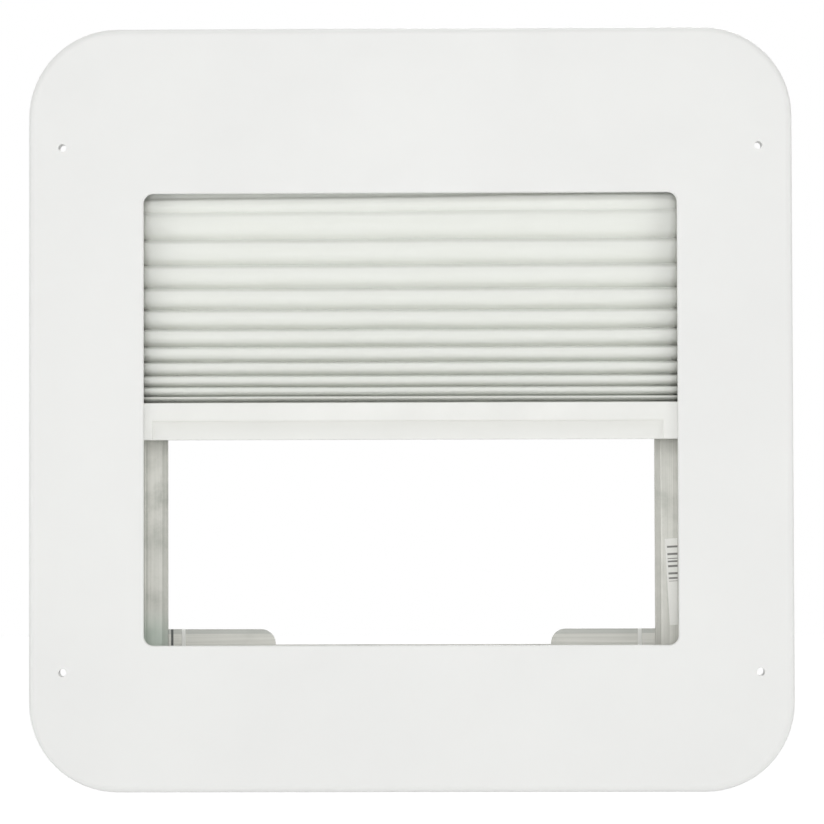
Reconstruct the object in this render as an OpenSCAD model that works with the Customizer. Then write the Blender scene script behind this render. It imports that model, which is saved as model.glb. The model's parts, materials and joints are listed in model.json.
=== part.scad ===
// Pleated roof-vent shade in a trim frame.
// A moulded trim panel carries four aluminium channels behind its opening. A pleated shade
// hangs from a head rail, and a handle rail slides up and down in the side channels.
// Millimetres. X to the right, Z up, the room side faces -Y. The origin is the middle of the
// four mounting holes, on the plane that the panel's rear rim rests on (Y = 0).

/* [Trim panel] */
// Width over the outer edges
panel_w = 559; // [500:1:640]
// Height over the outer edges
panel_h = 559; // [500:1:640]
// Depth from the rear rim to the face
panel_depth = 10; // [9:0.5:14]
// Wall thickness of the moulding
panel_t = 2.5; // [1.5:0.1:3]
// Radius of the outer corners, seen from the front
corner_r = 65; // [20:1:80]
// Rounding between the face and the skirt
edge_r = 5; // [3.5:0.5:6]
// Corner radius of the opening
open_r = 7; // [3:0.5:20]
// Rounding of the opening's front edge
lip_r = 1.2; // [0.4:0.1:1.4]

/* [Mounting holes] */
// From the side edges to the mounting holes
screw_inset_x = 25; // [15:0.5:32]
// From the top and bottom edges to the mounting holes
screw_inset_z = 87.5; // [40:0.5:120]
// Diameter of the mounting holes
screw_hole_d = 5.8; // [3:0.1:7]
// Outer diameter of the bosses round the mounting holes
boss_d = 13; // [9:0.5:16]

/* [Channel frame] */
// Width over the side channels, for a 400 mm cut-out
frame_w = 398; // [360:1:430]
// Height over the head and sill channels, for a 400 mm cut-out
frame_h = 398; // [380:1:430]
// Sheet thickness of the channels
sheet_t = 1.2; // [0.8:0.1:1.6]
// Inner radius of the sheet's bends
bend_r = 0.6; // [0.3:0.1:1.2]
// How far the panel reaches over each side channel
side_cover = 4; // [2:0.5:8]
// How far the panel reaches up over the sill channel
sill_cover = 26.7; // [20:0.1:32]
// How far the panel reaches down over the head channel
head_cover = 41; // [30:0.1:45]
// From the side channel's outer face to the tip of its lip
side_flange_w = 18.7; // [17:0.1:22]
// Length of the angled lip on each side channel
guide_lip_w = 4.5; // [4:0.5:8]
// Angle of the lip to its flange
guide_lip_angle = 10; // [5:1:40]
// Height of the head and sill flanges, from the channel's outer face
cross_flange_h = 25.3; // [20:0.1:25.5]
// Depth of the track, from the panel's back to the rear flanges
track_d = 28.5; // [26:0.5:34]
// Width of the flange that is screwed to the panel
fixing_flange_w = 14; // [11:0.5:18]

/* [Sill cut-out] */
// Width of the cut-out that clears a vent's crank
crank_gap_w = 204; // [120:1:260]
// Middle of the cut-out, to the right of centre
crank_gap_x = 1.3; // [-10:0.1:10]
// Height of the tabs on both sides of the cut-out
tab_h = 11.4; // [8:0.1:14]
// Corner radius of the tabs
tab_r = 10.8; // [3:0.1:10.8]
// From the side channel's outer face to the joggled end of a head or sill flange
joggle_inset = 31.5; // [15:0.1:60]
// Width of the joggle's slope
joggle_w = 3.1; // [2:0.1:6]

/* [Fixings] */
// Height of the bosses under the fixing flanges
stand_off = 3; // [2:0.5:3.5]
// Outer diameter of those bosses
stand_off_d = 7; // [6:0.5:8]
// Shank diameter of the channel screws
fixing_d = 2.8; // [2:0.1:3]
// Distance from the middle screw of a channel to the next one
fixing_step = 150; // [80:1:170]
// Rivet diameter at the frame's corners
rivet_d = 3.2; // [2.4:0.1:4]
// Gap round a screw or a rivet in its hole
hole_gap = 0.05; // [0.02:0.01:0.2]

/* [Head rail] */
// Height of the head rail
head_rail_h = 17.5; // [12:0.5:22]
// Gap between the head rail's ends and the side channels
head_rail_gap = 0.8; // [0.3:0.1:3]
// Wall thickness of the head rail and of the handle rail
rail_t = 1.5; // [1:0.1:2]
// Width of the slots that hold the shade's edges
slot_w = 6; // [4:0.5:8]

/* [Pleated shade] */
// Folds that point to the back
pleats = 13; // [8:1:14]
// Width of the fabric between two folds
pleat_leg = 13.5; // [12:0.5:21]
// How much tighter each pleat hangs than the one above, as a share of the top one
pleat_taper = 0.064; // [0:0.001:0.07]
// Height of the last, part leg on the handle rail
last_leg = 1; // [0.6:0.1:3]
// Fabric thickness
fabric_t = 0.35; // [0.2:0.05:0.6]
// Gap between the fabric's ends and the side channels
fabric_gap = 0.9; // [0.5:0.1:4]
// Gap between the fabric and the rails
seat_gap = 0.3; // [0.1:0.05:0.5]

/* [Handle rail] */
// Height of the handle's top edge above the panel's middle, at rest
handle_top = 4.9; // [-40:0.1:60]
// Height of the handle rail
handle_h = 27.1; // [24:0.1:32]
// Depth of the handle rail, front to back
handle_d = 23.1; // [18:0.1:24]
// From the handle's top edge down to the middle of its finger ridge
ridge_drop = 13.8; // [11:0.1:16]
// Radius of the finger ridge
ridge_r = 0.5; // [0.3:0.1:0.8]
// How far the front sinks back from the ridge down to the handle's lower edge
cove_depth = 2.2; // [1:0.1:2.6]
// Radius of the rail's long edges
handle_edge_r = 0.6; // [0.3:0.1:1]
// Width of the left end cap
cap_w = 8.5; // [8:0.5:12]
// Width of the right end cap, which holds the brake
brake_cap_w = 11.5; // [8:0.5:14]
// Gap between the left cap and its side channel
left_gap = 0.3; // [0.2:0.1:0.8]
// Gap between the right cap and its side channel, bridged by the brake shoe
right_gap = 1.5; // [1:0.1:4]
// Least gap in front of the ridge and behind the rail
run_gap = 0.6; // [0.3:0.1:1]

/* [Glide pad, brake shoe and spring] */
// Height of the pad and of the shoe
pad_h = 16; // [12:0.5:18]
// Depth of the pad and of the shoe, front to back
pad_d = 12; // [8:0.5:14]
// How deep the pad sits in the left cap
pad_seat = 3; // [2:0.5:5]
// Thickness of the brake shoe
shoe_t = 5; // [4:0.1:5.5]
// Depth of the shoe's pocket in the right cap
shoe_pocket = 6; // [5:0.1:6.5]
// Thickness of the leaf spring
spring_t = 0.4; // [0.3:0.1:0.6]
// How much shorter the spring is than the shoe, at each end
spring_inset = 1; // [0.5:0.5:2]
// Gap between the pad or the shoe and what it runs on or sits in
pad_gap = 0.05; // [0.02:0.01:0.1]

/* [End-cap fixing] */
// Length of the plug on each end cap
plug_l = 12; // [8:0.5:20]
// Gap round the plug
plug_gap = 0.15; // [0.05:0.05:0.3]
// Gap between the plug and the strip
plug_strip_gap = 1; // [0.5:0.1:2]
// Shank diameter of the cap screws
cap_screw_d = 2.8; // [2:0.1:3]
// Length of a cap screw in the rail
cap_screw_l = 10; // [6:0.5:20]
// How far a cap screw's head lies below the cap's face
cap_seat_spare = 0.5; // [0.2:0.1:1]

/* [Part label] */
// Width of the label at its middle, up to the channel's bend
label_w = 7.6; // [6:0.1:11]
// Height of the label
label_h = 64; // [30:1:90]
// Height of the label's middle above the panel's middle
label_z = -127.5; // [-140:0.5:-70]
// Tilt of the label, with its top to the left
label_tilt = 3.1; // [0:0.1:4]
// Paper thickness
label_t = 0.2; // [0.1:0.05:0.3]
// Gap between the label's right side and the channel's bend
label_gap = 0.1; // [0.1:0.1:1]

/* [Hidden] */
$fn = 96;
EPS = 0.01;
OVER = 1;             // how far a cutting tool runs past the wall it cuts

// Depths, from front to back
face_y = -panel_depth;
back_y = face_y + panel_t;                 // back of the panel's sheet
fixing_y = back_y + stand_off;             // front of the fixing flanges
rear_y = back_y + track_d;                 // front of the rear flanges
frame_back = rear_y + sheet_t;
lip_tip_y = rear_y - guide_lip_w * sin(guide_lip_angle);
handle_front = back_y + run_gap + ridge_r;
handle_back = min(handle_front + handle_d, lip_tip_y - run_gap);
track_mid = (handle_front + handle_back) / 2;

// The opening in the panel, from the frame that it covers
open_w = frame_w - 2 * side_cover;
open_bottom = sill_cover - frame_h / 2;
open_top = frame_h / 2 - head_cover;
open_h = open_top - open_bottom;
open_z = (open_top + open_bottom) / 2;
edge_band = lip_r + 1.5;                   // width of the strip that holds the rounding

// The channels
web_x = frame_w / 2 - sheet_t;             // inner face of the side webs
web_z = frame_h / 2 - sheet_t;             // inner face of the head and sill webs
lip_reach = round(100 * (guide_lip_w * cos(guide_lip_angle)
                         + sheet_t * sin(guide_lip_angle))) / 100;
lip_bend_x = frame_w / 2 - side_flange_w + lip_reach;
joggle_x = frame_w / 2 - joggle_inset;
fixing_line = sheet_t / 2 + fixing_flange_w / 2;   // screws, outside the frame's outer face
fixing_places = [-fixing_step, 0, fixing_step];
fixing_head_d = 2 * fixing_d;
fixing_head_h = 0.6 * fixing_d;
fixing_bite = stand_off + panel_t / 2;     // depth of the screws in the panel
rivet_head_h = 1;
rivet_inset_x = (frame_w / 2 - lip_bend_x) / 2;
rivet_insets_z = [7, 17];                  // from the frame's top or bottom face

// The rails and the shade
head_rail_z = web_z - head_rail_h;         // underside of the head rail
head_rail_w = 2 * (web_x - head_rail_gap);
fabric_w = 2 * (web_x - fabric_gap);
fabric_top = head_rail_z - seat_gap;
fabric_bottom = handle_top + seat_gap;
fold_drop = fabric_top - fabric_bottom - last_leg;
strip_gap = 0.1;                           // gap round a strip in its slot
strip_t = 1.8;                             // thickness of a strip inside its rail
strip_w = slot_w + 2 * rail_t;             // width of a strip inside its rail

// The handle
handle_left = left_gap - web_x;            // outer face of the left cap
handle_right = web_x - right_gap;
rail_left = handle_left + cap_w;
rail_right = handle_right - brake_cap_w;
handle_bottom = handle_top - handle_h;
handle_mid = handle_top - handle_h / 2;
ridge_z = handle_top - ridge_drop;
cove_top = ridge_z - 1.5 * ridge_r;
cove_low = handle_bottom + handle_edge_r;
cove_h = cove_top - cove_low;
cove_r = (cove_h * cove_h + cove_depth * cove_depth) / (2 * cove_depth);
front_wall = handle_front + cove_depth + rail_t;
port_wall = 1.1;                           // wall round the screw port
port_root = 0.5;                           // how far the port's wall runs into the rail's
port_r = cap_screw_d / 2 + port_wall;
port_y = handle_back - rail_t - port_r + port_root;
port_z = handle_bottom + rail_t + port_r - port_root;
plug_top = handle_top - rail_t - strip_gap - strip_t - plug_strip_gap;
cap_head_d = 2 * cap_screw_d;
cap_head_h = 0.6 * cap_screw_d;
cap_seat = cap_head_h + cap_seat_spare;               // depth of the seat under a cap screw's head
spring_h = pad_h - 2 * spring_inset;

label_right = web_x - bend_r - label_gap;

// ---- drawing helpers ----

// Extrudes an outline drawn in X and Z from depth y0 back to depth y1.
module along_y(y0, y1) {
    translate([0, y1, 0]) rotate([90, 0, 0]) linear_extrude(y1 - y0) children();
}

// Extrudes a section drawn in Y and Z from x0 to x1.
module along_x(x0, x1) {
    translate([x0, 0, 0]) rotate([90, 0, 90]) linear_extrude(x1 - x0) children();
}

// Turns what is drawn lying on its back, face up, so that it stands with its face to -Y.
module stand_up() {
    rotate([90, 0, 0]) children();
}

// A box between two corners.
module block(low, high) {
    translate(low) cube(high - low);
}

// A rectangle between two corners.
module area(low, high) {
    translate(low) square(high - low);
}

module rounded_rect(w, h, r) {
    square([w - 2 * r, h], center = true);
    square([w, h - 2 * r], center = true);
    for (x = [-1, 1], y = [-1, 1]) translate([x * (w / 2 - r), y * (h / 2 - r)]) circle(r);
}

// Carries a section round a rectangle with corners of radius r. The section is drawn with its
// X measured from the axis of a corner.
module sweep_round(w, h, r) {
    for (k = [0 : 3]) {
        reach = (k % 2 == 0 ? w : h) / 2 - r;
        side = (k % 2 == 0 ? h : w) - 2 * r;
        rotate(90 * k) {
            translate([reach, 0, 0]) rotate([90, 0, 0])
                linear_extrude(side, center = true) children();
            translate([reach, side / 2, 0]) rotate_extrude(angle = 90) children();
        }
    }
}

// A round pin along +Z with a wider head on top of its seat at z = 0.
module headed_pin(d, l, head_d, head_h) {
    translate([0, 0, -l]) cylinder(d = d, h = l);
    cylinder(d1 = head_d, d2 = 0.8 * head_d, h = head_h);
}

// Places children at every fixing screw of one channel; out is the channel's outer half size.
module at_fixings(out, turn) {
    for (s = fixing_places)
        rotate([0, turn, 0]) translate([s, 0, out + fixing_line]) children();
}

// Places children at every fixing screw of the frame.
module at_all_fixings() {
    for (turn = [0, 180]) at_fixings(frame_h / 2, turn) children();
    for (turn = [90, 270]) at_fixings(frame_w / 2, turn) children();
}

// Places children at every corner rivet.
module at_rivets() {
    for (sx = [-1, 1], sz = [-1, 1], inset = rivet_insets_z)
        translate([sx * (frame_w / 2 - rivet_inset_x), 0, sz * (frame_h / 2 - inset)])
            children();
}

// ---- trim panel ----

module rim_section() {
    area([corner_r - panel_t, 0], [corner_r, panel_depth - edge_r]);
    translate([corner_r - edge_r, panel_depth - edge_r]) intersection() {
        difference() {
            circle(edge_r);
            circle(edge_r - panel_t);
        }
        square(edge_r);
    }
}

module opening_edge_section() {
    area([open_r + lip_r, panel_depth - panel_t], [open_r + edge_band, panel_depth]);
    area([open_r, panel_depth - panel_t], [open_r + edge_band, panel_depth - lip_r]);
    translate([open_r + lip_r, panel_depth - lip_r]) circle(lip_r);
}

module panel_sheet() {
    translate([0, 0, panel_depth - panel_t]) linear_extrude(panel_t) difference() {
        rounded_rect(panel_w - 2 * edge_r, panel_h - 2 * edge_r, corner_r - edge_r);
        translate([0, open_z])
            rounded_rect(open_w + 2 * edge_band, open_h + 2 * edge_band, open_r + edge_band);
    }
}

module trim_panel() {
    screw_x = panel_w / 2 - screw_inset_x;
    screw_z = panel_h / 2 - screw_inset_z;
    color("ghostwhite") difference() {
        union() {
            stand_up() {
                sweep_round(panel_w, panel_h, corner_r) rim_section();
                translate([0, open_z, 0]) sweep_round(open_w, open_h, open_r)
                    opening_edge_section();
                panel_sheet();
                for (x = [-screw_x, screw_x], z = [-screw_z, screw_z])
                    translate([x, z, 0]) cylinder(d = boss_d, h = panel_depth - panel_t / 2);
            }
            at_all_fixings() translate([0, fixing_y, 0]) rotate([90, 0, 0])
                cylinder(d = stand_off_d, h = stand_off + panel_t / 2);
        }
        for (x = [-screw_x, screw_x], z = [-screw_z, screw_z])
            translate([x, OVER, z]) rotate([90, 0, 0])
                cylinder(d = screw_hole_d, h = panel_depth + 2 * OVER);
        at_all_fixings() translate([0, fixing_y + OVER, 0]) rotate([90, 0, 0])
            cylinder(d = fixing_d + 2 * hole_gap, h = fixing_bite + OVER);
    }
}

// ---- channels ----

// A quarter bend of the sheet in a section, round the point at. to gives the signs of the
// quadrant that it fills.
module bend(at, to) {
    r = bend_r + sheet_t;
    translate(at) intersection() {
        difference() {
            circle(r);
            circle(bend_r);
        }
        area([min(0, to[0] * r), min(0, to[1] * r)], [max(0, to[0] * r), max(0, to[1] * r)]);
    }
}

// Fixing flange and web of the right side channel, in X and Y.
module side_web_section() {
    outer = frame_w / 2;
    area([web_x, fixing_y + sheet_t + bend_r], [outer, rear_y - bend_r]);
    area([outer + bend_r, fixing_y], [outer + fixing_flange_w, fixing_y + sheet_t]);
    bend([outer + bend_r, fixing_y + sheet_t + bend_r], [-1, -1]);
}

// Its rear flange with the angled lip.
module side_flange_section() {
    a = guide_lip_angle;
    tip = [lip_bend_x - guide_lip_w * cos(a), rear_y - guide_lip_w * sin(a)];
    area([lip_bend_x, rear_y], [web_x - bend_r, frame_back]);
    bend([web_x - bend_r, rear_y - bend_r], [1, 1]);
    polygon([
        [lip_bend_x, rear_y],
        tip,
        tip + sheet_t * [-sin(a), cos(a)],
        [lip_bend_x - sheet_t * tan(a / 2), frame_back],
        [lip_bend_x, frame_back]]);
}

module side_channel() {
    color("silver") difference() {
        union() {
            translate([0, 0, -frame_h / 2]) linear_extrude(frame_h) side_web_section();
            translate([0, 0, -web_z]) linear_extrude(2 * web_z) side_flange_section();
        }
        at_all_fixings() channel_hole(fixing_y, fixing_d);
        at_rivets() channel_hole(rear_y, rivet_d);
    }
}

// A hole from front to back through the sheet whose front face is at depth y.
module channel_hole(y, d) {
    translate([0, y + sheet_t + OVER / 2, 0]) rotate([90, 0, 0])
        cylinder(d = d + 2 * hole_gap, h = sheet_t + OVER);
}

module side_channel_right() side_channel();
module side_channel_left() mirror([1, 0, 0]) side_channel();

// Outline of a tab at one end of the cut-out, with its rounded corner at edge_x; the tab
// runs outwards from there to the joggle. side is -1 on the left and 1 on the right.
module tab_outline(edge_x, side) {
    low = -frame_h / 2 + cross_flange_h - EPS;
    top = -frame_h / 2 + cross_flange_h + tab_h;
    round_x = edge_x + side * tab_r;
    area([min(round_x, side * joggle_x), low], [max(round_x, side * joggle_x), top]);
    area([min(edge_x, round_x), low], [max(edge_x, round_x), top - tab_r]);
    translate([round_x, top - tab_r]) circle(tab_r);
}

// Fixing flange and web of a head or sill channel, drawn as the sill, in Y and Z. The web
// ends at depth back.
module cross_web_section(back) {
    z0 = -frame_h / 2;
    area([fixing_y + sheet_t + bend_r, z0], [back, z0 + sheet_t]);
    area([fixing_y, z0 - fixing_flange_w], [fixing_y + sheet_t, z0 - bend_r]);
    bend([fixing_y + sheet_t + bend_r, z0 - bend_r], [-1, 1]);
}

// One straight stretch of it from x0 to x1, whose rear flange stands at depth y and is h high.
module cross_stretch(x0, x1, y, h) {
    z0 = -frame_h / 2;
    along_x(x0, x1) {
        cross_web_section(y - bend_r);
        bend([y - bend_r, z0 + sheet_t + bend_r], [1, -1]);
        area([y, z0 + sheet_t + bend_r], [y + sheet_t, z0 + h]);
    }
}

// A head or sill channel, drawn as the sill. h is the height of its rear flange at the ends,
// which step back by one sheet, behind the flanges of the side channels. The bend is relieved
// under each step.
module cross_channel(h) {
    step_x = joggle_x + joggle_w;
    relief = sheet_t + bend_r;
    cross_stretch(-joggle_x, joggle_x, rear_y, cross_flange_h);
    cross_stretch(-web_x, -step_x, frame_back, h);
    cross_stretch(step_x, web_x, frame_back, h);
    for (s = [-1, 1]) {
        x0 = s * joggle_x;
        x1 = s * step_x;
        along_x(min(x0, x1), max(x0, x1)) cross_web_section(rear_y - bend_r);
        translate([0, 0, -frame_h / 2 + relief]) linear_extrude(h - relief)
            polygon([[x0, rear_y], [x1, frame_back], [x1, frame_back + sheet_t],
                     [x0, frame_back]]);
    }
}

module head_channel() {
    color("silver") difference() {
        mirror([0, 0, 1]) cross_channel(cross_flange_h);
        at_all_fixings() channel_hole(fixing_y, fixing_d);
        at_rivets() channel_hole(frame_back, rivet_d);
        for (x = fixing_places) translate([x, track_mid, web_z - OVER])
            cylinder(d = fixing_d + 2 * hole_gap, h = sheet_t + 2 * OVER);
    }
}

module sill_channel() {
    color("silver") difference() {
        union() {
            cross_channel(cross_flange_h + tab_h);
            along_y(rear_y, frame_back) {
                tab_outline(crank_gap_x - crank_gap_w / 2, -1);
                tab_outline(crank_gap_x + crank_gap_w / 2, 1);
            }
        }
        at_all_fixings() channel_hole(fixing_y, fixing_d);
        at_rivets() channel_hole(frame_back, rivet_d);
    }
}

module corner_rivets() {
    color("gainsboro") at_rivets() {
        translate([0, rear_y, 0]) rotate([90, 0, 0])
            headed_pin(rivet_d, 2 * sheet_t, 1.8 * rivet_d, rivet_head_h);
        translate([0, frame_back + sheet_t, 0]) rotate([-90, 0, 0])
            cylinder(d = 1.5 * rivet_d, h = rivet_head_h);
    }
}

module channel_screws() {
    color("darkgray") at_all_fixings()
        translate([0, fixing_y + sheet_t, 0]) rotate([-90, 0, 0])
            headed_pin(fixing_d, sheet_t + fixing_bite - hole_gap, fixing_head_d, fixing_head_h);
}

// ---- head rail ----

// Section of a strip in Y and Z that fills a slot: its face is at z = 0 and it reaches up.
module strip_section() {
    area([-slot_w / 2 + strip_gap, 0], [slot_w / 2 - strip_gap, rail_t + strip_gap]);
    area([-strip_w / 2, rail_t + strip_gap], [strip_w / 2, rail_t + strip_gap + strip_t]);
}

module head_rail() {
    color("white") difference() {
        along_x(-head_rail_w / 2, head_rail_w / 2) difference() {
            area([handle_front, head_rail_z], [handle_back, web_z]);
            area([handle_front + rail_t, head_rail_z + rail_t], [handle_back - rail_t, web_z - rail_t]);
            area([track_mid - slot_w / 2, head_rail_z - OVER],
                 [track_mid + slot_w / 2, head_rail_z + rail_t + OVER]);
        }
        for (x = fixing_places) translate([x, track_mid, web_z - rail_t - OVER])
            cylinder(d = fixing_d + 2 * hole_gap, h = rail_t + 2 * OVER);
    }
}

module head_strip() {
    color("whitesmoke") along_x(-head_rail_w / 2, head_rail_w / 2)
        translate([track_mid, head_rail_z]) strip_section();
}

module head_rail_screws() {
    color("darkgray") for (x = fixing_places)
        translate([x, track_mid, frame_h / 2])
            headed_pin(fixing_d, sheet_t + 2 * rail_t, fixing_head_d, fixing_head_h);
}

// ---- pleated shade ----

// Height that the folds 1 to k take, in units of the top pleat.
function fold_sum(k) = k - 0.5 - pleat_taper * k * (k - 1) / 2;
// Height of the k-th fold at the back, counted from the top.
function fold_z(k) = fabric_top - fold_drop * fold_sum(k) / fold_sum(pleats);
// Depth of a pleat whose two back folds are p apart.
function fold_depth(p) = sqrt(max(pleat_leg * pleat_leg - p * p / 4, 1));
function pitch(k) = fold_z(k) - fold_z(k + 1);
function back_fold(k) = [track_mid + fold_depth(pitch(min(k, pleats - 1))) / 2, fold_z(k)];
function front_fold(k) =
    [track_mid - fold_depth(pitch(k)) / 2, (fold_z(k) + fold_z(k + 1)) / 2];

// The folded line in Y and Z, from the head rail to the handle.
fold_line = concat(
    [[track_mid, fabric_top]],
    [for (k = [1 : pleats - 1]) each [back_fold(k), front_fold(k)]],
    [back_fold(pleats), [track_mid, fabric_bottom]]);

// Half the fabric's width in Y, where it runs from fold k - 1 to fold k of the line.
function half_width(k) =
    let (leg = fold_line[max(k, 1)] - fold_line[max(k, 1) - 1])
    fabric_t / 2 * norm(leg) / abs(leg[1]);

module pleated_shade() {
    last = len(fold_line) - 1;
    rear = [for (k = [0 : last]) fold_line[k] + [half_width(k), 0]];
    front = [for (k = [last : -1 : 0]) fold_line[k] - [half_width(k), 0]];
    color("whitesmoke") along_x(-fabric_w / 2, fabric_w / 2) polygon(concat(rear, front));
}

// ---- handle ----

// Outer section of the handle in Y and Z, without its finger ridge.
module handle_block_section() {
    r = handle_edge_r;
    area([handle_front + r, handle_bottom], [handle_back, handle_top]);
    area([handle_front, handle_bottom + r], [handle_back, handle_top - r]);
    for (z = [handle_bottom + r, handle_top - r]) translate([handle_front + r, z]) circle(r);
}

// What the long cove under the ridge takes off the front, down to a rounded lower edge.
module cove_section() {
    r = handle_edge_r;
    intersection() {
        translate([handle_front + cove_depth - cove_r, cove_low]) circle(cove_r);
        area([handle_front - OVER, cove_low], [front_wall, ridge_z]);
    }
    difference() {
        area([handle_front - OVER, handle_bottom - OVER],
             [handle_front + cove_depth + r, cove_low]);
        translate([handle_front + cove_depth + r, cove_low]) circle(r);
    }
}

module handle_rail_section() {
    t = rail_t;
    difference() {
        union() {
            difference() {
                handle_block_section();
                cove_section();
                area([front_wall, handle_bottom + t], [handle_back - t, handle_top - t]);
                area([handle_front + t, ridge_z + t], [handle_back - t, handle_top - t]);
                area([track_mid - slot_w / 2, handle_top - t - OVER],
                     [track_mid + slot_w / 2, handle_top + OVER]);
            }
            translate([handle_front, ridge_z]) circle(ridge_r);
            translate([port_y, port_z]) circle(port_r);
        }
        translate([port_y, port_z]) circle(d = cap_screw_d + 2 * hole_gap);
    }
}

module handle_rail() {
    color("white") along_x(rail_left, rail_right) handle_rail_section();
}

module handle_strip() {
    color("whitesmoke") along_x(rail_left, rail_right)
        translate([track_mid, handle_top]) mirror([0, 1]) strip_section();
}

// The plug that goes into the rail's end, clear of the screw port and of the strip.
module plug_section() {
    difference() {
        area([front_wall + plug_gap, handle_bottom + rail_t + plug_gap],
             [handle_back - rail_t - plug_gap, plug_top]);
        translate([port_y, port_z]) circle(port_r + plug_gap);
    }
}

// An end cap of width w whose outer face is at x = 0 and whose plug points to +X.
module end_cap(w, pocket) {
    difference() {
        union() {
            along_x(0, w) handle_block_section();
            along_x(w - EPS, w + plug_l) plug_section();
        }
        translate([0, track_mid, handle_mid])
            block([-OVER, -pad_d / 2 - pad_gap, -pad_h / 2 - pad_gap],
                  [pocket, pad_d / 2 + pad_gap, pad_h / 2 + pad_gap]);
        translate([-OVER, port_y, port_z]) rotate([0, 90, 0]) {
            cylinder(d = cap_screw_d + 2 * hole_gap, h = w + 2 * OVER);
            cylinder(d = cap_head_d + 4 * hole_gap, h = cap_seat + OVER);
        }
    }
}

module end_cap_left() {
    color("white") translate([handle_left, 0, 0]) end_cap(cap_w, pad_seat);
}

module end_cap_right() {
    color("white") translate([handle_right, 0, 0]) mirror([1, 0, 0]) end_cap(brake_cap_w, shoe_pocket);
}

// One screw from each side, with its head sunk in the cap.
module cap_screws() {
    grip = cap_screw_l - cap_seat;
    color("darkgray") {
        translate([handle_left + cap_seat, port_y, port_z]) rotate([0, -90, 0])
            headed_pin(cap_screw_d, cap_w + grip, cap_head_d, cap_head_h);
        translate([handle_right - cap_seat, port_y, port_z]) rotate([0, 90, 0])
            headed_pin(cap_screw_d, brake_cap_w + grip, cap_head_d, cap_head_h);
    }
}

// ---- glide pad, brake shoe and spring ----

module glide_pad() {
    color("ivory") translate([0, track_mid, handle_mid])
        block([-web_x + pad_gap, -pad_d / 2, -pad_h / 2],
              [handle_left + pad_seat - pad_gap, pad_d / 2, pad_h / 2]);
}

module brake_shoe() {
    color("ivory") translate([0, track_mid, handle_mid])
        block([web_x - pad_gap - shoe_t, -pad_d / 2, -pad_h / 2],
              [web_x - pad_gap, pad_d / 2, pad_h / 2]);
}

// A bowed leaf: its ends stand on the pocket's floor and its crown presses on the shoe.
module brake_spring() {
    floor_x = handle_right - shoe_pocket + pad_gap;
    rise = web_x - shoe_t - 2 * pad_gap - floor_x;
    bow_r = (spring_h * spring_h / 4 + rise * rise) / (2 * rise);
    color("lightsteelblue") translate([floor_x, track_mid, handle_mid]) rotate([90, 0, 0])
        linear_extrude(0.6 * pad_d, center = true) intersection() {
            translate([rise - bow_r, 0]) difference() {
                circle(bow_r);
                circle(bow_r - spring_t);
            }
            area([0, -spring_h / 2], [rise, spring_h / 2]);
        }
}

// A tilted label whose right side is trimmed along the channel's bend.
module part_label() {
    color("lightyellow") intersection() {
        translate([label_right, 0, label_z]) rotate([0, -label_tilt, 0])
            block([-label_w, rear_y - label_t, -label_h / 2], [label_w, rear_y, label_h / 2]);
        block([lip_bend_x, back_y, label_z - label_h], [label_right, frame_back, label_z + label_h]);
    }
}

trim_panel();
side_channel_left();
side_channel_right();
head_channel();
sill_channel();
corner_rivets();
channel_screws();
head_rail();
head_strip();
head_rail_screws();
pleated_shade();
handle_rail();
handle_strip();
end_cap_left();
end_cap_right();
cap_screws();
glide_pad();
brake_shoe();
brake_spring();
part_label();
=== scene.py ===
"""A pleated roof-vent shade in its trim frame: the moulded panel, the aluminium channels behind
it, the head rail, the pleated fabric and the handle that slides up and down."""
import json
import math
import bmesh
import bpy
from mathutils import Matrix, Vector


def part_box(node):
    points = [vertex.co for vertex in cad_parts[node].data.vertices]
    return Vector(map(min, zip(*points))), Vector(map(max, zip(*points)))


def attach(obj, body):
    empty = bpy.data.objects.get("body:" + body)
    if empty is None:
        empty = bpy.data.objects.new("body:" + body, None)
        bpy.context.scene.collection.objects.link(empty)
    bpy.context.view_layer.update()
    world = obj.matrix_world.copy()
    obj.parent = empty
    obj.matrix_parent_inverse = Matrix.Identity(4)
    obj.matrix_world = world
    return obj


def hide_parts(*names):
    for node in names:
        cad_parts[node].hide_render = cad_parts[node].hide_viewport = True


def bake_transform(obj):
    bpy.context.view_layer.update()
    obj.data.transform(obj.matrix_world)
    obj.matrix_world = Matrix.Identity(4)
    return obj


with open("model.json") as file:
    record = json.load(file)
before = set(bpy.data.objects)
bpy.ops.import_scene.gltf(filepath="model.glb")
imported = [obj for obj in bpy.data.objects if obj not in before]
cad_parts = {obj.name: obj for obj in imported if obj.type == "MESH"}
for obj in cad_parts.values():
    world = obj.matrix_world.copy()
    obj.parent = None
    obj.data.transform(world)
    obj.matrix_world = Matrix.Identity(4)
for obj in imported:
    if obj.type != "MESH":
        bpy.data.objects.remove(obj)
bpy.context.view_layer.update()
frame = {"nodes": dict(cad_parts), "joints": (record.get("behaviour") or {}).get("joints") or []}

nodes = frame["nodes"]

# ---------------------------------------------------------------------------------------------
# TRIM PANEL
# Moulded from off-white plastic with a fine satin skin, its edges turned back in a shallow
# skirt. Four bosses at its corners take the screws that hold it to the roof.


def add(tree, kind, feeds=None, **settings):
    """Adds a node; feeds gives its inputs, each a plain value or another node's output."""
    made = tree.nodes.new(kind)
    for name, value in settings.items():
        setattr(made, name, value)
    for name, value in (feeds or {}).items():
        if isinstance(value, bpy.types.NodeSocket):
            tree.links.new(value, made.inputs[name])
        else:
            made.inputs[name].default_value = value
    return made


def calc(tree, operation, a, b=0.0, c=0.0):
    """One sum on numbers that vary over the surface."""
    return add(tree, "ShaderNodeMath", {0: a, 1: b, 2: c}, operation=operation).outputs[0]


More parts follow.
